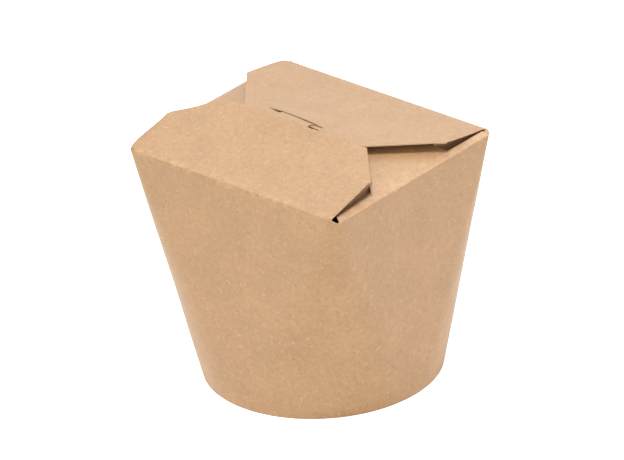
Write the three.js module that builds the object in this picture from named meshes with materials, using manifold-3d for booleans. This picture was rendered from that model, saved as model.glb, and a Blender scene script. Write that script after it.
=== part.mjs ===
// A shut noodle takeaway carton of plain brown kraft board. Its wall is round at the base and
// turns into a rectangle at the top. Two side flaps are folded in first, two main flaps lie over
// them as a low gable, and a tongue of the front flap is held in a slit of the rear flap. A disc
// of the same board is pressed into the base, inside the hem of the wall.
// Millimetres, +Z up, origin at the centre of the base, X along the folds of the main flaps, and
// the front flap on the -Y side.

import * as THREE from "three";
import { ConvexGeometry } from "three/addons/geometries/ConvexGeometry.js";
import { mergeVertices } from "three/addons/utils/BufferGeometryUtils.js";
import Module from "manifold-3d";

// Board
const BOARD = 0.5;
const KRAFT = 0xc9a37c;
const KRAFT_INSIDE = 0xc39b72;
const ROUGHNESS = 0.88;

// Wall
const BASE_DIAMETER = 89.7;
const FOLD_HEIGHT = 92; // of the main flaps' folds above the table
const FOLD_LENGTH = 100; // of a main flap's fold, along X
const FOLD_SPACING = 86.6; // between the two main folds, along Y
const SHOULDER_OUT = 1.2; // how far the wall's top edge stands outside the folds
const SHOULDER_DROP = 0.45;
const CORNER_RADIUS = 2.4; // of the wall's top edge, seen from above
const MAIN_BOW = 0.9; // how far the wall's top edge curves out along a main fold
const SIDE_BOW = 0.3;

// Flaps
const FRONT_TILT = 16.2; // degrees above level
const REAR_TILT = 11.4;
const SIDE_TILT = 20;
const FLAP_END = 22.6; // length of a main flap's straight ends
const FLAP_END_DRAFT = 0.6; // how much an end leans in over that length
const FRONT_REACH = 37.5; // of the front flap, from its fold to its free edge
const FRONT_TIP_HALF = 34; // half the length of the front flap's free edge
const REAR_REACH = 51.9; // of the rear flap, up to where the front one covers it
const REAR_TIP_RIGHT = 33.4; // its cut ends there, which differ from left to right
const REAR_TIP_LEFT = 24;

// Lock
const TONGUE_CENTRE = -1.1;
const TONGUE_WIDTH = 15.8;
const TONGUE_RISE = 0.35; // of the tongue above the rear flap at the slit
const SLIT_LENGTH = 28.5;
const SLIT_WIDTH = 0.8;
const SLIT_Y = -4.6;
const SLIT_DEPTH = 1.4;
const CORNER_HOLE_DIAMETER = 2.2;

// Base
const HEM_WIDTH = 1.45; // three layers of board
const DISC_HEIGHT = 5; // of the disc's underside above the table
const CLEARANCE = 0.3;

// Facets
const CIRCLE_STEPS = 96;
const CORNER_STEPS = 6;
const BOW_STEPS = 12;
const HOLE_STEPS = 12;

const wasm = await Module();
wasm.setup();

const halfX = FOLD_LENGTH / 2;
const halfY = FOLD_SPACING / 2;
const slope = (degrees) => Math.tan(THREE.MathUtils.degToRad(degrees));

// A geometry as a solid that can be joined and cut.
function solidOf(geometry) {
  geometry.deleteAttribute("normal");
  geometry.deleteAttribute("uv");
  const merged = mergeVertices(geometry, 1e-4);
  return new wasm.Manifold(
    new wasm.Mesh({
      numProp: 3,
      vertProperties: new Float32Array(merged.attributes.position.array),
      triVerts: new Uint32Array(merged.index.array),
    }),
  );
}

function geometryOf(solid) {
  const mesh = solid.getMesh();
  const geometry = new THREE.BufferGeometry();
  geometry.setAttribute("position", new THREE.BufferAttribute(mesh.vertProperties, 3));
  geometry.setIndex(new THREE.BufferAttribute(mesh.triVerts, 1));
  geometry.computeVertexNormals();
  return geometry;
}

function shapeOf(outline) {
  return new THREE.Shape(outline.map(([x, y]) => new THREE.Vector2(x, y)));
}

// A flat sheet of board with its upper face on z = 0.
function sheet(outline) {
  const geometry = new THREE.ExtrudeGeometry(shapeOf(outline), { depth: BOARD, bevelEnabled: false });
  return geometry.translate(0, 0, -BOARD);
}

// One quarter-rounded, slightly bowed edge line of the wall, all the way round at one height.
function topOutline(outX, outY, z) {
  const points = [];
  const corners = [
    [1, 1, 0],
    [-1, 1, 90],
    [-1, -1, 180],
    [1, -1, 270],
  ];
  for (const [signX, signY, start] of corners) {
    for (let i = 0; i <= CORNER_STEPS; i++) {
      const angle = THREE.MathUtils.degToRad(start + (90 * i) / CORNER_STEPS);
      const x = signX * (outX - CORNER_RADIUS) + CORNER_RADIUS * Math.cos(angle);
      const y = signY * (outY - CORNER_RADIUS) + CORNER_RADIUS * Math.sin(angle);
      points.push(new THREE.Vector3(x, y, z));
    }
  }
  for (let i = 1; i < BOW_STEPS; i++) {
    const along = (2 * i) / BOW_STEPS - 1;
    const bow = 1 - along * along;
    for (const side of [-1, 1]) {
      const straightX = along * (outX - CORNER_RADIUS);
      const straightY = along * (outY - CORNER_RADIUS);
      points.push(new THREE.Vector3(straightX, side * (outY + MAIN_BOW * bow), z));
      points.push(new THREE.Vector3(side * (outX + SIDE_BOW * bow), straightY, z));
    }
  }
  return points;
}

// The wall, as a filled body: its surface is the hull of the round base and the rectangular top.
function wallBody() {
  const points = [];
  for (let i = 0; i < CIRCLE_STEPS; i++) {
    const angle = (2 * Math.PI * i) / CIRCLE_STEPS;
    const radius = BASE_DIAMETER / 2;
    points.push(new THREE.Vector3(radius * Math.cos(angle), radius * Math.sin(angle), 0));
  }
  points.push(
    ...topOutline(halfX + SHOULDER_OUT, halfY + SHOULDER_OUT, FOLD_HEIGHT - SHOULDER_DROP),
    ...topOutline(halfX, halfY, FOLD_HEIGHT),
  );
  return solidOf(new ConvexGeometry(points));
}

// What the main flaps lie on: a low hipped form whose two short sides are the side flaps.
function sideFlapBody() {
  const under = BOARD / 2;
  const ridgeY = (halfY * (slope(REAR_TILT) - slope(FRONT_TILT))) / (slope(REAR_TILT) + slope(FRONT_TILT));
  const ridgeZ = (halfY + ridgeY) * slope(FRONT_TILT) - under;
  const ridgeHalf = halfX - ridgeZ / slope(SIDE_TILT);
  const points = [];
  for (const x of [-1, 1]) {
    for (const y of [-1, 1]) {
      points.push(new THREE.Vector3(x * halfX, y * halfY, FOLD_HEIGHT));
      points.push(new THREE.Vector3(x * halfX, y * halfY, FOLD_HEIGHT - BOARD * 4));
    }
    points.push(new THREE.Vector3(x * ridgeHalf, ridgeY, FOLD_HEIGHT + ridgeZ));
  }
  return solidOf(new ConvexGeometry(points));
}

function frontFlap() {
  const end = halfX - FLAP_END_DRAFT;
  const geometry = sheet([
    [-halfX, 0],
    [halfX, 0],
    [end, FLAP_END],
    [FRONT_TIP_HALF, FRONT_REACH],
    [-FRONT_TIP_HALF, FRONT_REACH],
    [-end, FLAP_END],
  ]);
  geometry.rotateX(THREE.MathUtils.degToRad(FRONT_TILT));
  return solidOf(geometry.translate(0, -halfY, FOLD_HEIGHT));
}

function rearFlap() {
  const end = halfX - FLAP_END_DRAFT;
  const geometry = sheet([
    [halfX, 0],
    [-halfX, 0],
    [-end, -FLAP_END],
    [-REAR_TIP_LEFT, -REAR_REACH],
    [REAR_TIP_RIGHT, -REAR_REACH],
    [end, -FLAP_END],
  ]);
  geometry.rotateX(THREE.MathUtils.degToRad(-REAR_TILT));
  return solidOf(geometry.translate(0, halfY, FOLD_HEIGHT));
}

const rearHeightAt = (y) => FOLD_HEIGHT + (halfY - y) * slope(REAR_TILT);
const frontHeightAt = (y) => FOLD_HEIGHT + (y + halfY) * slope(FRONT_TILT);

// The slit in the rear flap, as the space that it leaves open.
function slit() {
  const geometry = new THREE.BoxGeometry(SLIT_LENGTH, SLIT_WIDTH, SLIT_DEPTH * 2);
  return solidOf(geometry.translate(TONGUE_CENTRE, SLIT_Y, rearHeightAt(SLIT_Y)));
}

// The tongue, cut from the same sheet as the front flap: it runs on from the free edge, bends
// down and goes into the slit. Its side profile is swept along X.
function tongue() {
  const rootY = -halfY + (FRONT_REACH - BOARD * 4) * Math.cos(THREE.MathUtils.degToRad(FRONT_TILT));
  const freeY = -halfY + FRONT_REACH * Math.cos(THREE.MathUtils.degToRad(FRONT_TILT));
  const entryY = SLIT_Y + SLIT_WIDTH / 4;
  const entryZ = rearHeightAt(SLIT_Y);
  const profile = [
    [rootY, frontHeightAt(rootY)],
    [rootY, frontHeightAt(rootY) - BOARD],
    [freeY, rearHeightAt(freeY) - BOARD],
    [entryY - BOARD, entryZ - SLIT_DEPTH * 2],
    [entryY, entryZ - SLIT_DEPTH * 2],
    [entryY, entryZ],
    [entryY - BOARD, entryZ + TONGUE_RISE],
    [freeY, frontHeightAt(freeY)],
  ];
  const geometry = new THREE.ExtrudeGeometry(shapeOf(profile), { depth: TONGUE_WIDTH, bevelEnabled: false });
  geometry.applyMatrix4(new THREE.Matrix4().set(0, 0, 1, 0, 1, 0, 0, 0, 0, 1, 0, 0, 0, 0, 0, 1));
  return solidOf(geometry.translate(TONGUE_CENTRE - TONGUE_WIDTH / 2, 0, 0));
}

// The small round relief that the die leaves where a main fold meets a side fold.
function cornerHole(signX, signY) {
  const geometry = new THREE.SphereGeometry(CORNER_HOLE_DIAMETER / 2, HOLE_STEPS, HOLE_STEPS / 2);
  const x = signX * (halfX + SHOULDER_OUT / 4);
  const y = signY * (halfY + SHOULDER_OUT / 4);
  return solidOf(geometry.translate(x, y, FOLD_HEIGHT - SHOULDER_DROP));
}

// The space inside the hem, up to the top of the pressed-in disc.
function baseRecess() {
  const radius = BASE_DIAMETER / 2 - HEM_WIDTH;
  const top = DISC_HEIGHT + BOARD * 2 + CLEARANCE;
  const geometry = new THREE.LatheGeometry(
    [
      new THREE.Vector2(0, -1),
      new THREE.Vector2(radius, -1),
      new THREE.Vector2(radius, top),
      new THREE.Vector2(0, top),
    ],
    CIRCLE_STEPS,
  );
  return solidOf(geometry.rotateX(Math.PI / 2));
}

function cartonGeometry() {
  let carton = wallBody().add(sideFlapBody()).add(frontFlap()).add(rearFlap());
  carton = carton.subtract(slit()).add(tongue());
  for (const signX of [-1, 1]) {
    for (const signY of [-1, 1]) {
      carton = carton.subtract(cornerHole(signX, signY));
    }
  }
  return geometryOf(carton.subtract(baseRecess()));
}

function baseDiscGeometry() {
  const radius = BASE_DIAMETER / 2 - HEM_WIDTH - CLEARANCE;
  const geometry = new THREE.LatheGeometry(
    [
      new THREE.Vector2(0, 0),
      new THREE.Vector2(radius, 0),
      new THREE.Vector2(radius, BOARD * 2),
      new THREE.Vector2(0, BOARD * 2),
    ],
    CIRCLE_STEPS,
  );
  return geometryOf(solidOf(geometry.rotateX(Math.PI / 2)));
}

const group = new THREE.Group();

const carton = new THREE.Mesh(
  cartonGeometry(),
  new THREE.MeshStandardMaterial({ color: KRAFT, roughness: ROUGHNESS, metalness: 0 }),
);
carton.name = "carton";
group.add(carton);

const baseDisc = new THREE.Mesh(
  baseDiscGeometry(),
  new THREE.MeshStandardMaterial({ color: KRAFT_INSIDE, roughness: ROUGHNESS, metalness: 0 }),
);
baseDisc.name = "base_disc";
baseDisc.position.z = DISC_HEIGHT;
group.add(baseDisc);

export default group;
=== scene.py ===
import math
import bmesh
import bpy
from mathutils import Matrix, Vector, noise


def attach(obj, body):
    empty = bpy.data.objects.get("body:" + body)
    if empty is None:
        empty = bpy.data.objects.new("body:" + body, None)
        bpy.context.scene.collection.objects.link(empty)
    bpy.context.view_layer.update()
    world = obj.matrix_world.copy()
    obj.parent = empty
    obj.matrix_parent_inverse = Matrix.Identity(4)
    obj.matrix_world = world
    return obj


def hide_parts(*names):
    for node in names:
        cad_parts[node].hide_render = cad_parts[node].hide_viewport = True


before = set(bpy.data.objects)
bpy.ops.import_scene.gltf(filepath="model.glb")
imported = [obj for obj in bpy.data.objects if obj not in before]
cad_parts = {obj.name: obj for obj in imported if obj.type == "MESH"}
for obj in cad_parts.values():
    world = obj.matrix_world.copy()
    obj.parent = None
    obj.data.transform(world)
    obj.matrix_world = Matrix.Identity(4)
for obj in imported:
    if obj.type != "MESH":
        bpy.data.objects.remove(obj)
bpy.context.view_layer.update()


# Wall. A fan-shaped length of kraft board 0.45 mm thick, rolled round until its ends lap, and
# glued there. It is round at the base and scored square at the top, so each corner is part of a
# cone and the panels between are nearly flat. The lower edge is turned in to stand on.
metres = 0.001
close, exact = 0.01, 1e-4  # what is nearer than this counts as the same place
board = 0.45
base_radius = 44.8
hem_radius, hem_steps = 0.5, 8  # of the lower edge where it is turned in
half_long, half_short = 50.0, 43.3  # from the middle of the lid to its folds
front_level, rear_level, rear_slope = 92.3, 92.7, 0.003  # the folds of the main flaps
side_level, side_rise = 91.55, 0.0158  # the side folds are lower, and rise towards the rear
left_level = 92.05  # of the -X side fold
left_bulge, bulge_end, bulge_fade = 1.1, 43.5, 5.5  # the -X wall springs out between its corners
bulge_inner = 40.0  # as far in as this, the -X side flap springs out with it
front_tilt, rear_tilt, side_tilt = 15.8, 10.4, 20.0  # of the flaps above level
roll_radius, roll_steps = 0.8, 9  # of the board where it is folded over
wall_corner, corner_cells = 3.4, 28  # where two panels meet at the rim
cells_long, cells_short, cells_high = 40, 34, 45  # of a panel
corner_turns = 0.4, 0.9  # the part of a corner in which one fold's level turns into the next
flat_spread = 5.0  # degrees that half a panel still spans at the base
lap_cell, lap_ramp = 10, 0.15  # where the outer end of the board is, at the rear, and its cut edge
lap_step, lap_width, lap_fade = 0.4, 14, 1.5  # it stands out by this, and less and less beside it
held_below, held_above, held_fade = 3, 89.5, 8  # an edge holds the board flat past these heights
long_wave, long_depth = 30, 0.14  # of the faint waves in the board
short_wave, short_depth, short_start = 11, 0.05, Vector((7, 3, 1))
hole_opens, hole_closes = (0.25, 0.45), (0.68, 0.9)  # the part of a front corner that a hole takes up
hole_turn = 62  # degrees above level of the board at the edge of that hole
ledge_start, ledge_drop = 1.1, 0.05  # of the board that runs on under the rear flap

# Both walls of a pair and their flaps are ruled at the same stations, so that they weld together.
straight_long = half_long + roll_radius - wall_corner
straight_short = half_short + roll_radius - wall_corner
stations_long = [straight_long * (2 * k / cells_long - 1) for k in range(cells_long + 1)]
stations_short = [straight_short * (2 * k / cells_short - 1) for k in range(cells_short + 1)]
lap_station = stations_long[lap_cell] + lap_ramp


def ease(value, start, stop):
    """Rises smoothly from 0 to 1 between two points."""
    share = min(1.0, max(0.0, (value - start) / (stop - start)))
    return share * share * (3 - 2 * share)


def rim_of_wall(core, facing):
    """Level of the fold, tilt of its flap, and turn from the main flap, for one point of the rim."""
    main = (front_level, front_tilt) if core.y < 0 else (rear_level + rear_slope * core.x, rear_tilt)
    side = (side_level + side_rise * core.y if core.x > 0 else left_level, side_tilt)
    from_main = math.acos(min(1.0, abs(math.sin(facing)))) / (math.pi / 2)
    share = ease(from_main, *corner_turns)
    return [m + (s - m) * share for m, s in zip(main, side)] + [from_main]


def sprung(x, y):
    """How far the -X wall and its side flap have sprung out at a point of the rim."""
    return left_bulge * ease(bulge_end - abs(y), 0, bulge_fade) if x < -bulge_inner else 0.0


def run_on(piece, edges):
    """Extrudes edges. Gives the new edges, and their points, which are still where they began."""
    grown = bmesh.ops.extrude_edge_only(piece, edges=edges)["geom"]
    return ([g for g in grown if isinstance(g, bmesh.types.BMEdge)],
            [g for g in grown if isinstance(g, bmesh.types.BMVert)])


def panel_edges(axis):
    """The two long edges of the rim that lie along an axis, 0 for X and 1 for Y."""
    return [e for e in wall.edges if e.calc_length() > half_short
            and abs(e.verts[0].co[1 - axis] - e.verts[1].co[1 - axis]) < close]


def put_on_blank(panel):
    """Adds one finished panel to the blank that all of them were cut from."""
    loose = bpy.data.meshes.new("panel")
    panel.to_mesh(loose)
    blank.from_mesh(loose)
    bpy.data.meshes.remove(loose)
    panel.free()


blank = bmesh.new()
wall = bmesh.new()
bmesh.ops.create_grid(wall, x_segments=1, y_segments=1, size=1.0)
bmesh.ops.scale(wall, vec=(half_long + roll_radius, half_short + roll_radius, 1), verts=wall.verts[:])
bmesh.ops.bevel(wall, geom=wall.verts[:], offset=wall_corner, offset_type='OFFSET', affect='VERTICES',
                segments=corner_cells, profile=0.5, material=-1)
bmesh.ops.delete(wall, geom=wall.faces[:], context='FACES_ONLY')
bmesh.ops.subdivide_edges(wall, edges=panel_edges(0), cuts=cells_long - 1)
bmesh.ops.subdivide_edges(wall, edges=panel_edges(1), cuts=cells_short - 1)
lap_edge = [e for e in wall.edges if min(v.co.y for v in e.verts) > half_short
            and min(v.co.x for v in e.verts) < lap_station < max(v.co.x for v in e.verts)][0]
near_end = min(lap_edge.verts, key=lambda v: v.co.x)
bmesh.utils.edge_split(lap_edge, near_end, lap_ramp / lap_edge.calc_length())

lap = wall.verts.layers.float.new("lap")
facing_of = wall.verts.layers.float.new("facing")
core_x = wall.verts.layers.float.new("core_x")
core_y = wall.verts.layers.float.new("core_y")
for v in wall.verts:
    if v.co.y > half_short and v.co.x < lap_station - close:
        v[lap] = max(0.0, 1 - (lap_station - v.co.x) / lap_width)
    v[core_x] = max(-straight_long, min(straight_long, v.co.x))
    v[core_y] = max(-straight_short, min(straight_short, v.co.y))
    v[facing_of] = math.atan2(v.co.y - v[core_y], v.co.x - v[core_x])

# The rim goes up to the folds, and a second outline is drawn in to the round base.
lower = set(run_on(wall, wall.edges[:])[1])
spread = math.radians(flat_spread)
for v in wall.verts:
    core, facing = Vector((v[core_x], v[core_y], 0)), v[facing_of]
    if v in lower:
        quarter = round(facing / (math.pi / 2))
        square = quarter * math.pi / 2
        if abs(facing - square) < close:
            along = core.xy.dot(Vector((-math.sin(square), math.cos(square))))
            angle = facing + spread * along / (straight_long if quarter % 2 else straight_short)
        else:
            angle = facing + spread * (1 - 2 * (facing % (math.pi / 2)) / (math.pi / 2))
        v.co = Vector((base_radius * math.cos(angle), base_radius * math.sin(angle), hem_radius))
    else:
        level, tilt, from_main = rim_of_wall(core, facing)
        v.co.z = level - roll_radius / math.cos(math.radians(tilt))
        v.co.x -= sprung(v.co.x, v.co.y)

upright = [e for e in wall.edges if e.calc_length() > half_short]
bmesh.ops.subdivide_edges(wall, edges=upright, cuts=cells_high - 1, use_grid_fill=True)

hem = [e for e in wall.edges if max(v.co.z for v in e.verts) < hem_radius + close]
for step in range(1, hem_steps + 1):
    hem, points = run_on(wall, hem)
    turn = math.pi * step / hem_steps
    for v in points:
        radius = base_radius - hem_radius + hem_radius * math.cos(turn)
        flat = Vector((v.co.x, v.co.y, 0)).normalized() * radius
        v.co = Vector((flat.x, flat.y, hem_radius - hem_radius * math.sin(turn)))

wall.normal_update()
bmesh.ops.recalc_face_normals(wall, faces=wall.faces[:])
for v in wall.verts:
    if held_below < v.co.z < held_above:
        fade = min(1, (v.co.z - held_below) / held_fade, (held_above - v.co.z) / held_fade)
        wave = (noise.noise(v.co / long_wave) * long_depth
                + noise.noise(v.co / short_wave + short_start) * short_depth)
        v.co += v.normal * (wave * fade)
        end = min(1, (held_above - v.co.z) / lap_fade, v.co.z - held_below)
        v.co += v.normal * (v[lap] * lap_step * end)

# Round each corner the board rolls over too. Beside the front flap it leaves a small hole.
corner_rim = []
for e in wall.edges:
    if min(v.co.z for v in e.verts) > held_above and e.is_boundary:
        middle = (e.verts[0].co + e.verts[1].co) / 2
        if abs(middle.x) > straight_long and abs(middle.y) > straight_short:
            corner_rim.append(e)
for step in range(1, roll_steps + 1):
    corner_rim, points = run_on(wall, corner_rim)
    for v in points:
        core, facing = Vector((v[core_x], v[core_y], 0)), v[facing_of]
        level, tilt, from_main = rim_of_wall(core, facing)
        outward = Vector((math.cos(facing), math.sin(facing)))
        shift = sprung(core.x, core.y + wall_corner * outward.y)
        hole = ease(from_main, *hole_opens) - ease(from_main, *hole_closes) if core.y < 0 else 0
        turn = math.radians(max(tilt + (hole_turn - tilt) * hole, 90 - (90 - tilt) * step / roll_steps))
        out = outward * (wall_corner - roll_radius + roll_radius * math.sin(turn))
        v.co = Vector((core.x + out.x - shift, core.y + out.y,
                       level - roll_radius / math.cos(math.radians(tilt)) + roll_radius * math.cos(turn)))

# At the two rear corners it runs on inwards, as a ledge under the end of the rear flap.
rear_rim = [e for e in corner_rim if e.verts[0].co.y > 0]
for v in run_on(wall, rear_rim)[1]:
    sign = math.copysign(1, v[core_x])
    past = max(0.0, sign * (v.co.x - v[core_x]) - ledge_start)
    v.co.x -= sign * past
    v.co.z += past * math.tan(math.radians(side_tilt)) - ledge_drop
put_on_blank(wall)


# Front flap. Scored along its fold, it lies over the rear flap and carries the tongue, which
# goes down into the slit. Its two ends are folded under, where the corner webs hang on them,
# and its free edge and slanting sides are plain cuts.
ridge_lift, ridge_half = 0.9, 34  # how far the lock holds both flaps up at the middle of the ridge
front_reach = 37.4
front_rulings = [*range(2, 36, 2), 36.4]
front_outline = [(48.2, 0.05), (48.1, 1.6), (48.1, 21.6), (49.0, 22.7), (35.0, front_reach),
                 (-34.4, front_reach), (-41.9, 28.7), (-45.4, 25.7), (-48.7, 22.9), (-49.35, 21.8),
                 (-49.5, 17.0), (-49.8, 13.5), (-50.1, 10.3), (-50.35, 7.2), (-50.45, 5.0),
                 (-50.3, 2.9), (-49.9, 1.2), (-49.2, 0.4), (-48.2, 0.05)]  # from its +X end round
front_end = 21.8  # how far from the fold its two ends reach, before the sides slant
flap_ends = 46.5  # what is further out than this belongs to an end
web_fold, web_fold_steps = 0.3, 6  # of the board where an end is turned under
neck_left, neck_right = -9.5, 6.8
relief_start, relief_end, relief_depth = 7.2, 9.4, 0.8  # a small cut in the edge beside the neck
tail_start, tail_end, tail_depth = 10.8, 13.3, 0.6  # which goes on less deep
neck_reach, neck_slant = 3.94, 0.0663  # the tongue bends down along a line askew to the fold
neck_bend = (0.3, 0.1), (0.35, 0.4), (0.375, 0.7)  # share of that reach, and drop, of each row
tongue_rows = (0.12, 0.2), (0.05, 2.0)  # reach and drop below the bend


def cut_panel(corners, across, along):
    """A flat panel with its fold on y = 0, ruled so that it can bend."""
    panel = bmesh.new()
    panel.faces.new([panel.verts.new((x, y, 0)) for x, y in corners])
    rulings = [((x, 0, 0), (1, 0, 0)) for x in across] + [((0, y, 0), (0, 1, 0)) for y in along]
    for position, normal in rulings:
        bmesh.ops.bisect_plane(panel, geom=panel.verts[:] + panel.edges[:] + panel.faces[:],
                               dist=exact, plane_co=position, plane_no=normal)
    return panel


def fold_end_under(panel, sign, reach):
    """Rolls one end of a main flap under, between the corner hole and the end of its web."""
    edges = [e for e in panel.edges if e.is_boundary
             and all(v.co.x * sign > flap_ends and close < v.co.y < reach + close for v in e.verts)]
    places = [v.co.copy() for e in edges for v in e.verts]
    for step in range(1, web_fold_steps + 1):
        turn = math.pi * step / web_fold_steps
        edges, points = run_on(panel, edges)
        for v in points:
            start = min(places, key=lambda p: abs(p.y - v.co.y))
            v.co.x = start.x + sign * web_fold * math.sin(turn)
            v.co.z = start.z - web_fold * (1 - math.cos(turn))


def roll_to_wall(panel, tilt):
    """Tilts a panel up from its fold, and rolls its fold edge down to meet the wall."""
    bmesh.ops.rotate(panel, cent=(0, 0, 0), matrix=Matrix.Rotation(math.radians(tilt), 3, 'X'),
                     verts=panel.verts[:])
    edges = [e for e in panel.edges if e.is_boundary
             and all(abs(v.co.y) < close and abs(v.co.z) < close for v in e.verts)]
    for step in range(roll_steps + 1):
        turn = math.radians(tilt + (90 - tilt) * step / roll_steps)
        edges, points = run_on(panel, edges)
        for v in points:
            v.co.y = -roll_radius * math.sin(turn)
            v.co.z = roll_radius * math.cos(turn) - roll_radius / math.cos(math.radians(tilt))


def lift(x, share):
    """How far a main flap is held up, at a share of the way from its fold to its free edge."""
    return ridge_lift * max(0.0, 1 - (x / ridge_half) ** 2) ** 2 * share ** 2


front = cut_panel([(-straight_long, 0), (straight_long, 0), *front_outline],
                  [*stations_long[1:-1], neck_left, neck_right, relief_start, relief_end, tail_start,
                   tail_end], front_rulings)
for v in front.verts:
    if v.co.y > front_reach - close and neck_right + close < v.co.x < tail_end - close:
        v.co.y -= relief_depth if v.co.x < relief_end + close else tail_depth
    v.co.z = lift(v.co.x, v.co.y / front_reach)
for sign in (1, -1):
    fold_end_under(front, sign, front_end)
roll_to_wall(front, front_tilt)
bmesh.ops.translate(front, verts=front.verts[:], vec=(0, -half_short, front_level))
neck = [e for e in front.edges if e.is_boundary
        and all(neck_left - close < v.co.x < neck_right + close and v.co.y > -half_short / 2
                for v in e.verts)]
for share, drop in neck_bend:
    neck, points = run_on(front, neck)
    for v in points:
        v.co.y += share * (neck_reach - neck_slant * v.co.x)
        v.co.z -= drop
for reach, drop in tongue_rows:
    neck, points = run_on(front, neck)
    for v in points:
        v.co.y += reach
        v.co.z -= drop
put_on_blank(front)


# Rear flap. It is the lower of the two, and its slit takes the tongue. The slit is a die cut a
# good deal longer than the tongue is wide, which gapes beside the tongue, and the two slanting
# sides of the flap were cut at different angles.
rear_reach = 51.8
rear_outline = [(49.0, 0.1), (50.0, 0.5), (50.5, 1.6), (50.65, 3.2), (50.7, 5.3), (50.5, 10.0),
                (50.25, 14.8), (49.8, 19.8), (49.45, 22.4), (24.6, rear_reach), (-31.6, rear_reach),
                (-34.0, 47.6), (-39.4, 38.3), (-46.3, 26.4), (-48.9, 23.4), (-48.1, 21.4),
                (-47.8, 12.0), (-47.1, 1.6), (-47.6, 0.05)]  # turned half round below, so +X goes to -X
rear_ends = (-1, 21.4), (1, 22.4)  # how far from the fold each end reaches, before the sides slant
rear_rulings = [*range(2, 48, 2), 45.2, 47.4, 49.4, 50.4, 50.9, 51.35]
rear_cross_rulings = [-lap_station, 11.4, 10.6, -6.8, -7.6, -10.2, -13.1]
slit_far = Vector((17.4, 46.05)), Vector((-11.7, 48.1))  # start and end of its far side
slit_gape, slit_start_gape, slit_end_gape = 1.1, 0.3, 0.2  # beside the tongue and at each end
slit_start_widens = 0.35  # how much of the difference it gains before it reaches the tongue
tongue_starts, tongue_ends = 7.7, 24.4  # along the slit
far_bump, bump_start, bump_stop, bump_width = 0.38, 7, 21, 9  # the tongue holds the far side up
edge_lip, lip_width = 0.35, 1.4  # that the near side is bent down by, past the tongue
lip_edge = 51.1, 51.6  # and the free edge, between these distances from the fold
edge_set_back = (24.2, 25.0, 1.05), (26.4, 28.4, -0.2), (30.5, 32.5, -0.85)  # of the free edge
set_back_start = 48.8


def stepped(along, steps):
    """A height that changes by a given amount between each two points along a line."""
    return sum(change * ease(along, start, stop) for start, stop, change in steps)


rear = cut_panel([(-straight_long, 0), (straight_long, 0), *rear_outline],
                 [*stations_long[1:-1], *rear_cross_rulings], rear_rulings)
slit_line = (slit_far[1] - slit_far[0]).normalized()
slit_side = Vector((slit_line.y, -slit_line.x))
slit_length = (slit_far[1] - slit_far[0]).length
for point, normal in ((slit_far[0], slit_side), (slit_far[0] + slit_side * slit_gape, slit_side),
                      (slit_far[0], slit_line), (slit_far[1], slit_line)):
    bmesh.ops.bisect_plane(rear, geom=rear.verts[:] + rear.edges[:] + rear.faces[:], dist=exact,
                           plane_co=(point.x, point.y, 0), plane_no=(normal.x, normal.y, 0))
in_slit = []
for f in rear.faces:
    centre = f.calc_center_median().xy - slit_far[0]
    if 0 < centre.dot(slit_side) < slit_gape and 0 < centre.dot(slit_line) < slit_length:
        in_slit.append(f)
bmesh.ops.delete(rear, geom=in_slit, context='FACES')

# What the tongue does to both sides of the slit: where a step starts and stops, and its height.
far_side = (0, bump_start, far_bump), (bump_stop, slit_length, -far_bump)
near_side = (0, 3, 0.3), (5.6, 7.6, 0.5), (tongue_ends - 2.5, tongue_ends + 0.3, -0.8)
past_tongue = (tongue_ends - 1, tongue_ends, edge_lip), (27, slit_length, -edge_lip)
for v in rear.verts:
    place = v.co.xy - slit_far[0]
    across, along = place.dot(slit_side), place.dot(slit_line)
    v.co.z = lift(v.co.x, v.co.y / rear_reach)
    if across < slit_gape / 2:
        v.co.z += stepped(along, far_side) * (1 - ease(-across, 0, bump_width))
    else:
        lip = stepped(along, past_tongue) * (1 - ease(across, slit_gape, slit_gape + lip_width))
        v.co.z -= max(stepped(along, near_side), lip, edge_lip * ease(v.co.y, *lip_edge))
        v.co.y -= stepped(along, edge_set_back) * ease(v.co.y, set_back_start, rear_reach)
    if abs(across - slit_gape) < close and -close < along < slit_length + close:
        if along < tongue_starts:
            widens = slit_start_widens * along / tongue_starts
            gape = slit_start_gape + (slit_gape - slit_start_gape) * widens
        else:
            closes = ease(along, tongue_ends - 0.8, tongue_ends + 0.1)
            gape = slit_gape - (slit_gape - slit_end_gape) * closes
        v.co.xy -= slit_side * (slit_gape - gape)
for sign, reach in rear_ends:
    fold_end_under(rear, sign, reach)
roll_to_wall(rear, rear_tilt)
bmesh.ops.rotate(rear, cent=(0, 0, 0), matrix=Matrix.Rotation(math.pi, 3, 'Z'), verts=rear.verts[:])
bmesh.ops.translate(rear, verts=rear.verts[:], vec=(0, half_short, rear_level))
for v in rear.verts:
    v.co.z += rear_slope * v.co.x
put_on_blank(rear)


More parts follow.
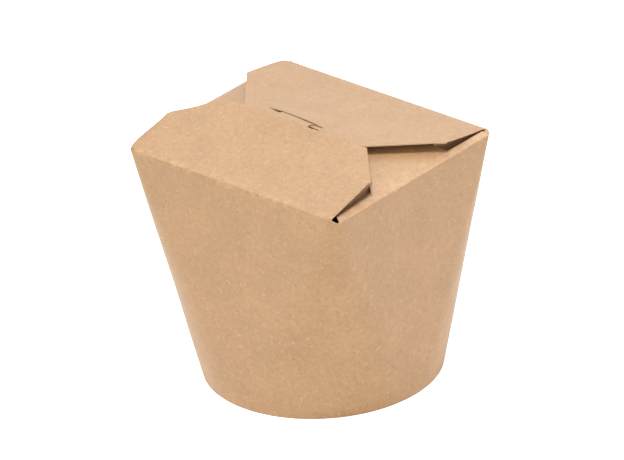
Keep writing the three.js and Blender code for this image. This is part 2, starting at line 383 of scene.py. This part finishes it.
# Side flaps and corner webs. One flap at each end, folded in first and held down by the two main
# flaps. Near the corners it is creased close to its fold, where a web of the same board leads
# round to the end of the main flap. Each web is folded into a pocket and tucked in.
crease_front = (-39.6, 2.3), (-19.7, 3.1)
crease_rear = (21.9, 2.2), (41.2, 2.0)
crease_band = half_long - 5.0, half_long - 1.2  # where both creases lie
side_outline = [(-straight_short, 0), (straight_short, 0), crease_rear[1], crease_rear[0], (20.4, 7.0),
                (27.0, 7.2), (28.0, 8.2), (23.0, 10.6), (18.6, 12.8), (12.0, 16.6), (5.0, 20.3),
                (-1.0, 24.0), (-7.0, 26.6), (-12.0, 24.8), (-18.0, 19.4), (-24.0, 14.2),
                (-29.0, 10.4), (-27.0, 8.6), (-17.0, 8.2), (-15.8, 7.2), crease_front[1],
                crease_front[0]]
pockets = (  # valley, back and mouth of each web, each from the corner inwards, for the +X end
    (-1, crease_front, ((45.7, -38.0, 90.3), (44.0, -14.6, 91.6)),
     ((45.0, -38.2, 92.5), (43.8, -16.0, 96.2)), ((47.3, -41.2, 92.1), (47.4, -21.9, 97.5))),
    (1, crease_rear[::-1], ((46.4, 41.6, 90.9), (43.8, 20.0, 90.6)),
     ((45.9, 41.4, 92.7), (43.2, 19.6, 95.6)), ((46.5, 41.5, 92.3), (47.2, 21.0, 96.0))))

for end in (1, -1):
    outline = side_outline if end > 0 else [(-x, y) for x, y in reversed(side_outline)]
    side = cut_panel(outline, [end * crease_front[1][0], end * crease_rear[0][0], *stations_short[1:-1]],
                     [1.2, 2.4, *range(4, 26, 2)])
    roll_to_wall(side, side_tilt)
    bmesh.ops.rotate(side, cent=(0, 0, 0), matrix=Matrix.Rotation(end * math.pi / 2, 3, 'Z'),
                     verts=side.verts[:])
    bmesh.ops.translate(side, verts=side.verts[:], vec=(end * half_long, 0, side_level))
    for v in side.verts:
        v.co.z += side_rise * v.co.y if end > 0 else left_level - side_level
    share = side.verts.layers.float.new("share")
    for row, (near, far), *lines in pockets:
        edges = [e for e in side.edges if e.is_boundary
                 and all(abs(far[0]) - close < row * v.co.y < abs(near[0]) + close
                         and crease_band[0] < abs(v.co.x) < crease_band[1] for v in e.verts)]
        for v in {v for e in edges for v in e.verts}:
            v[share] = (abs(near[0]) - abs(v.co.y)) / (abs(near[0]) - abs(far[0]))
        for start, stop in lines:
            edges, points = run_on(side, edges)
            for v in points:
                v.co = Vector(start).lerp(Vector(stop), v[share])
                v.co.x *= end
    for v in side.verts:
        v.co.x -= sprung(v.co.x, v.co.y)
    put_on_blank(side)


# The carton as it is delivered: all panels of the one blank, welded along their folds, given
# the board's thickness inwards, with the paler, fluffy middle of the board at its cut edges.
weld = 0.02
sharp_from = 40  # degrees between two faces
fold_highlight_rises, fold_highlight_fades = (90.5, 91.6), (92.4, 93.2)  # heights just below and above the folds, between which a highlight is painted


def kraft(name, tint, fibre_strength=1.0):
    """Uncoated kraft board: cloudy brown pulp with short curled fibres, light and dark, and a painted
    highlight along the folds.
    """
    material = bpy.data.materials.new(name)
    material.use_nodes = True
    nodes, links = material.node_tree.nodes, material.node_tree.links
    shader = nodes["Principled BSDF"]
    place = nodes.new("ShaderNodeTexCoord")

    def shade(factor, haze=0.0):
        """The board's colour made lighter or darker."""
        return [min(1, c * factor + haze) for c in tint] + [1]

    def pulp(scale, detail, shift):
        """A cloud of a given number of waves to the metre."""
        mapping = nodes.new("ShaderNodeMapping")
        mapping.inputs["Location"].default_value = shift
        links.new(place.outputs["Object"], mapping.inputs["Vector"])
        texture = nodes.new("ShaderNodeTexNoise")
        texture.inputs["Scale"].default_value = scale
        texture.inputs["Detail"].default_value = detail
        texture.inputs["Roughness"].default_value = 0.6
        links.new(mapping.outputs["Vector"], texture.inputs["Vector"])
        return texture.outputs["Fac"]

    def math_node(operation, first, second=0.0):
        """One sum on two values, each a number or a socket."""
        node = nodes.new("ShaderNodeMath")
        node.operation = operation
        for socket, value in zip(node.inputs, (first, second)):
            if isinstance(value, (int, float)):
                socket.default_value = value
            else:
                links.new(value, socket)
        return node.outputs[0]

    def between(value, low, high, start=0.0, stop=1.0, curve='SMOOTHSTEP'):
        """Goes from start to stop as a value goes from low to high."""
        node = nodes.new("ShaderNodeMapRange")
        node.interpolation_type = curve
        limits = ("From Min", low), ("From Max", high), ("To Min", start), ("To Max", stop)
        for socket, number in limits:
            node.inputs[socket].default_value = number
        links.new(value, node.inputs["Value"])
        return node.outputs["Result"]

    def blend_of(*parts):
        """Clouds added up, each with its share."""
        total = math_node('MULTIPLY', *parts[0])
        for part in parts[1:]:
            total = math_node('ADD', total, math_node('MULTIPLY', *part))
        return total

    def curled_fibres(scale, shift, width, dense):
        """Thin level lines of one cloud, kept only where a second cloud is dense."""
        line = math_node('ABSOLUTE', math_node('SUBTRACT', pulp(scale, 1.0, shift), 0.5))
        hair = math_node('SUBTRACT', 1.0, between(line, 0.0, width))
        where = between(pulp(scale * 0.8, 2.0, (shift[1], shift[2], shift[0])), dense, dense + 0.05)
        return math_node('MULTIPLY', hair, where)

    def painted_fold_highlight():
        """Painted highlight: lighter patches along the folds, where the rounded board catches the light.
        """
        height = nodes.new("ShaderNodeSeparateXYZ")
        links.new(place.outputs["Object"], height.inputs[0])
        above = between(height.outputs["Z"], *[level * metres for level in fold_highlight_rises])
        past = between(height.outputs["Z"], *[level * metres for level in fold_highlight_fades])
        near_fold = math_node('MULTIPLY', above, math_node('SUBTRACT', 1.0, past))
        patches = between(pulp(330, 2.0, (6.2, 1.4, 0.9)), 0.47, 0.62)
        return math_node('MULTIPLY', near_fold, patches)

    cloud = pulp(60, 3.0, (0.3, 0.1, 0.7))
    mottle = pulp(560, 4.0, (0.9, 0.4, 0.2))
    grain = pulp(2300, 2.0, (0.2, 0.8, 0.5))
    ramp = nodes.new("ShaderNodeValToRGB")
    ramp.color_ramp.interpolation = 'EASE'
    for stop, position, factor in zip(ramp.color_ramp.elements, (0.37, 0.63), (0.9, 1.1)):
        stop.position = position
        stop.color = shade(factor)
    links.new(blend_of((cloud, 0.25), (mottle, 0.4), (grain, 0.35)), ramp.inputs["Fac"])
    colour = ramp.outputs["Color"]
    dark_fibres = curled_fibres(400, (1.3, 2.2, 0.4), 0.026, 0.51)
    light_fibres = curled_fibres(460, (4.1, 0.7, 2.9), 0.024, 0.51)
    specks = between(pulp(1500, 1.0, (2.2, 5.1, 3.3)), 0.76, 0.80)
    # Sockets 6 and 7 of a Mix node are the colour below and the one laid over it, and 2 is the mix.
    # The last of these paints lighter patches along the folds, a painted highlight.
    for where, over, amount in ((dark_fibres, shade(0.6), 0.55 * fibre_strength),
                                (light_fibres, shade(1.3, 0.05), 0.65 * fibre_strength),
                                (specks, shade(0.4), 0.6 * fibre_strength),
                                (painted_fold_highlight(), shade(1.25, 0.04), 0.4)):
        mix = nodes.new("ShaderNodeMix")
        mix.data_type = 'RGBA'
        links.new(math_node('MULTIPLY', where, amount), mix.inputs["Factor"])
        links.new(colour, mix.inputs[6])
        mix.inputs[7].default_value = over
        colour = mix.outputs[2]
    links.new(colour, shader.inputs["Base Color"])
    links.new(between(mottle, 0.0, 1.0, 0.46, 0.58, 'LINEAR'), shader.inputs["Roughness"])
    shader.inputs["Specular IOR Level"].default_value = 0.5
    shader.inputs["Sheen Weight"].default_value = 0.08
    shader.inputs["Sheen Roughness"].default_value = 0.6
    bump = nodes.new("ShaderNodeBump")
    bump.inputs["Strength"].default_value = 0.35
    bump.inputs["Distance"].default_value = 0.06 * metres
    links.new(blend_of((mottle, 0.7), (grain, 0.3)), bump.inputs["Height"])
    links.new(bump.outputs["Normal"], shader.inputs["Normal"])
    return material


def add_piece(name, shape):
    """Turns a shape in millimetres into a smooth piece of the scene, in metres."""
    bmesh.ops.recalc_face_normals(shape, faces=shape.faces[:])
    bmesh.ops.scale(shape, vec=(metres, metres, metres), verts=shape.verts[:])
    for f in shape.faces:
        f.smooth = True
    mesh = bpy.data.meshes.new(name)
    shape.to_mesh(mesh)
    shape.free()
    piece = bpy.data.objects.new(name, mesh)
    bpy.context.scene.collection.objects.link(piece)
    return piece


def thicken(piece, side):
    """Gives a sheet the board's thickness, inwards for -1 and outwards for 1."""
    solid = piece.modifiers.new("board", 'SOLIDIFY')
    solid.thickness = board * metres
    solid.offset = side
    return solid


kraft_face = kraft("kraft_face", (0.350, 0.207, 0.099))
kraft_cut = kraft("kraft_cut_edge", (0.395, 0.26, 0.14), 0.4)

bmesh.ops.remove_doubles(blank, verts=blank.verts[:], dist=weld)
carton = add_piece("carton_board", blank)
carton.data.materials.append(kraft_face)
carton.data.materials.append(kraft_cut)
thicken(carton, -1).material_offset_rim = 1
shell = bpy.data.meshes.new_from_object(carton.evaluated_get(bpy.context.evaluated_depsgraph_get()))
shell.set_sharp_from_angle(angle=math.radians(sharp_from))
folded = carton.data
carton.modifiers.clear()
carton.data = shell
bpy.data.meshes.remove(folded)
shell.name = "carton_board"
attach(carton, "root")
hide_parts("carton")


# Base. A round disc of the same board, pressed in from below and held by the turned-in edge of
# the wall, which is crimped against it with fine upright ribs.
disc_level = 4.5
recess_radius = base_radius - 2 * hem_radius
disc_gap, disc_sides = 0.1, 192
disc_rings = ((0.25, 0.28), (0.35, 0.2), (0.5, 0.06), (2.6, 0.0), (0.6, -0.12), (0.6, 0.0), (0.6, 0.14),
              (6.0, 0.05), (12.0, 0.08), (12.0, 0.04))  # width and rise of each, from the edge inwards
crimp_level, crimp_sides, crimp_clear = 0.7, 360, 0.02
crimp_rows = (0.7, 0), (0.4, 1), (2.6, 1), (0.4, 0), (0.6, 0)  # height, and whether it is ribbed
rib_every, rib_depth = 3, 0.09

disc = bmesh.new()
bmesh.ops.create_circle(disc, cap_ends=True, segments=disc_sides, radius=recess_radius - disc_gap)
bmesh.ops.translate(disc, verts=disc.verts[:], vec=(0, 0, disc_level))
middle_face = disc.faces[:]
for width, rise in disc_rings:
    bmesh.ops.inset_region(disc, faces=middle_face, thickness=width, depth=0.0)
    bmesh.ops.translate(disc, verts=list({v for f in middle_face for v in f.verts}), vec=(0, 0, rise))
bmesh.ops.solidify(disc, geom=disc.faces[:], thickness=board)
base_disc = add_piece("base_disc_board", disc)
base_disc.data.materials.append(kraft_face)
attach(base_disc, "root")
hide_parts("base_disc")

crimp = bmesh.new()
bmesh.ops.create_circle(crimp, cap_ends=False, segments=crimp_sides, radius=recess_radius)
bmesh.ops.translate(crimp, verts=crimp.verts[:], vec=(0, 0, crimp_level))
rim = crimp.edges[:]
for height, press in crimp_rows:
    rim, points = run_on(crimp, rim)
    for v in points:
        station = round(math.atan2(v.co.y, v.co.x) / (2 * math.pi) * crimp_sides)
        rib = rib_depth * press if station % rib_every == 0 else 0.0
        out = Vector((v.co.x, v.co.y, 0)).normalized() * (recess_radius + crimp_clear - rib)
        v.co = Vector((out.x, out.y, v.co.z + height))
base_crimp = add_piece("base_crimp", crimp)
thicken(base_crimp, 1)
base_crimp.data.materials.append(kraft_face)
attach(base_crimp, "root")


# Studio. A white floor that glows like a light table, so that hardly a shadow lies on it, white
# surroundings, and one fairly small lamp nearly overhead and a little to the front. Two lamps
# behind the carton give its board a sheen and light nothing else.
floor_half = 6.0
floor_white, floor_glow = 0.88, 0.44
room_strength = 0.83

floor_mesh = bpy.data.meshes.new("floor")
sheet = bmesh.new()
bmesh.ops.create_grid(sheet, x_segments=1, y_segments=1, size=floor_half)
sheet.to_mesh(floor_mesh)
sheet.free()
floor = bpy.data.objects.new("floor", floor_mesh)
bpy.context.scene.collection.objects.link(floor)
paper = bpy.data.materials.new("floor_paper")
paper.use_nodes = True
paper_shader = paper.node_tree.nodes["Principled BSDF"]
paper_shader.inputs["Base Color"].default_value = (floor_white, floor_white, floor_white, 1)
paper_shader.inputs["Roughness"].default_value = 0.9
paper_shader.inputs["Specular IOR Level"].default_value = 0.0
paper_shader.inputs["Emission Color"].default_value = (1, 1, 1, 1)
paper_shader.inputs["Emission Strength"].default_value = floor_glow
floor.data.materials.append(paper)

surroundings = bpy.data.worlds.new("white_room")
surroundings.use_nodes = True
surroundings.node_tree.nodes["Background"].inputs["Color"].default_value = (1, 1, 1, 1)
surroundings.node_tree.nodes["Background"].inputs["Strength"].default_value = room_strength
bpy.context.scene.world = surroundings
bpy.context.scene.view_settings.view_transform = 'Standard'
bpy.context.scene.view_settings.look = 'Medium High Contrast'


def lamp(name, width, watts, direction, distance, aim_height):
    """A round soft lamp that shines on the carton from a given direction."""
    light = bpy.data.lights.new(name, 'AREA')
    light.shape = 'DISK'
    light.size = width
    light.energy = watts
    holder = bpy.data.objects.new(name, light)
    bpy.context.scene.collection.objects.link(holder)
    direction = direction.normalized()
    holder.location = Vector((0, 0, aim_height)) + direction * distance
    holder.rotation_euler = direction.to_track_quat('Z', 'Y').to_euler()
    return holder


lamp_azimuth, lamp_elevation = math.radians(33), math.radians(76)
overhead = Vector((math.sin(lamp_azimuth) * math.cos(lamp_elevation),
                   -math.cos(lamp_azimuth) * math.cos(lamp_elevation), math.sin(lamp_elevation)))
lamp("overhead", width=0.27, watts=10.0, direction=overhead, distance=1.2, aim_height=0.09)
sheen_lamps = (
    lamp("soft_back", width=1.3, watts=10.5, direction=Vector((-0.45, 0.47, 0.76)),
         distance=1.6, aim_height=0.09),
    lamp("near_back", width=0.5, watts=2.2, direction=Vector((0.3, 0.75, 0.6)),
         distance=0.5, aim_height=0.06))
for sheen_lamp in sheen_lamps:
    sheen_lamp.visible_diffuse = False


# Camera. It stands five metres away, before the +X end of the front fold, and looks down on the
# lid. Its long lens keeps level edges nearly parallel, and it is tilted sideways a few degrees.
azimuth, elevation, roll = math.radians(43.083), math.radians(27.391), math.radians(-3.589)
camera_distance = 5
aim_right, aim_up, aim_height = -0.001244, 0.000184, 0.05487

camera_data = bpy.data.cameras.new("camera")
camera_data.sensor_width = 36.0
camera_data.lens = 784.8
camera_data.clip_start = 0.1
camera_data.clip_end = 50.0
camera = bpy.data.objects.new("camera", camera_data)
bpy.context.scene.collection.objects.link(camera)
back = Vector((math.sin(azimuth) * math.cos(elevation), -math.cos(azimuth) * math.cos(elevation),
               math.sin(elevation)))
right = Vector((math.cos(azimuth), math.sin(azimuth), 0))
up = back.cross(right)
stand = right * aim_right + up * aim_up + Vector((0, 0, aim_height)) + back * camera_distance
turned_right = right * math.cos(roll) + up * math.sin(roll)
turned_up = up * math.cos(roll) - right * math.sin(roll)
camera.matrix_world = Matrix((
    (turned_right.x, turned_up.x, back.x, stand.x),
    (turned_right.y, turned_up.y, back.y, stand.y),
    (turned_right.z, turned_up.z, back.z, stand.z),
    (0, 0, 0, 1)))
bpy.context.scene.camera = camera
